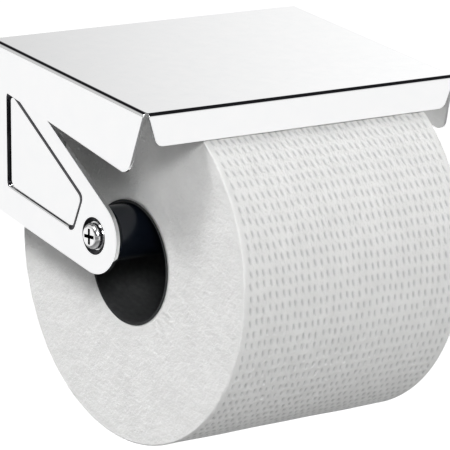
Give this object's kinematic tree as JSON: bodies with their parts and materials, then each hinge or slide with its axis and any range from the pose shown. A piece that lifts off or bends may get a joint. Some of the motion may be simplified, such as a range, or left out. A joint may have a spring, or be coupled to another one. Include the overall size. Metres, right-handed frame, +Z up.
{
  "type": "toilet paper holder",
  "caption": "Wall-hung toilet paper holder: bent sheet bracket with a side arm, a turning roller that carries a full paper roll, and a hinged, lipped sheet cover resting on the roll.",
  "frame": {"origin": "centre of the wall plate's two screw holes, on the plate's back face, which lies on the wall", "axes": "+X to the right as seen from the front, -Y out of the wall towards the user, +Z up"},
  "size_m": [0.1396, 0.1294, 0.135],
  "materials": {
    "chrome_sheet": "polished",
    "chrome_parts": "polished",
    "turned_steel": "satin",
    "dark_plastic": "gloss",
    "nylon": "satin",
    "core_board": "matte",
    "tissue": "matte"
  },
  "bodies": {
    "bracket": {"bracket_sheet": "chrome_sheet", "hinge_rod": "chrome_parts", "hinge_spacer_left": "nylon", "hinge_spacer_right": "nylon", "hinge_cap_left": "chrome_parts", "hinge_cap_right": "chrome_parts", "arm_screw": "chrome_parts", "spindle": "turned_steel", "lock_washer": "turned_steel", "spindle_clip": "turned_steel"},
    "cover": {"cover_sheet": "chrome_sheet"},
    "roller": {"roller_tube": "dark_plastic", "roller_bush_left": "nylon", "roller_bush_right": "nylon", "roller_end_plug": "dark_plastic"},
    "roll": {"cardboard_core": "core_board", "paper_roll": "tissue"}
  },
  "joints": [
    {"name": "cover_hinge", "type": "hinge", "parent": "bracket", "child": "cover", "pos_m": [0, -0.0207, 0.0267], "axis": [-1, 0, 0], "range_deg": [0, 107]},
    {"name": "roll_spin", "type": "hinge", "parent": "bracket", "child": "roll", "pos_m": [0, -0.0671, -0.0388], "axis": [1, 0, 0], "continuous": true},
    {"name": "roller_spin", "type": "hinge", "parent": "bracket", "child": "roller", "pos_m": [0, -0.0671, -0.0279], "axis": [1, 0, 0], "continuous": true}
  ],
  "couplings": [
    {"joint": "roller_spin", "follows": "roll_spin", "ratio": 2.2043}
  ]
}
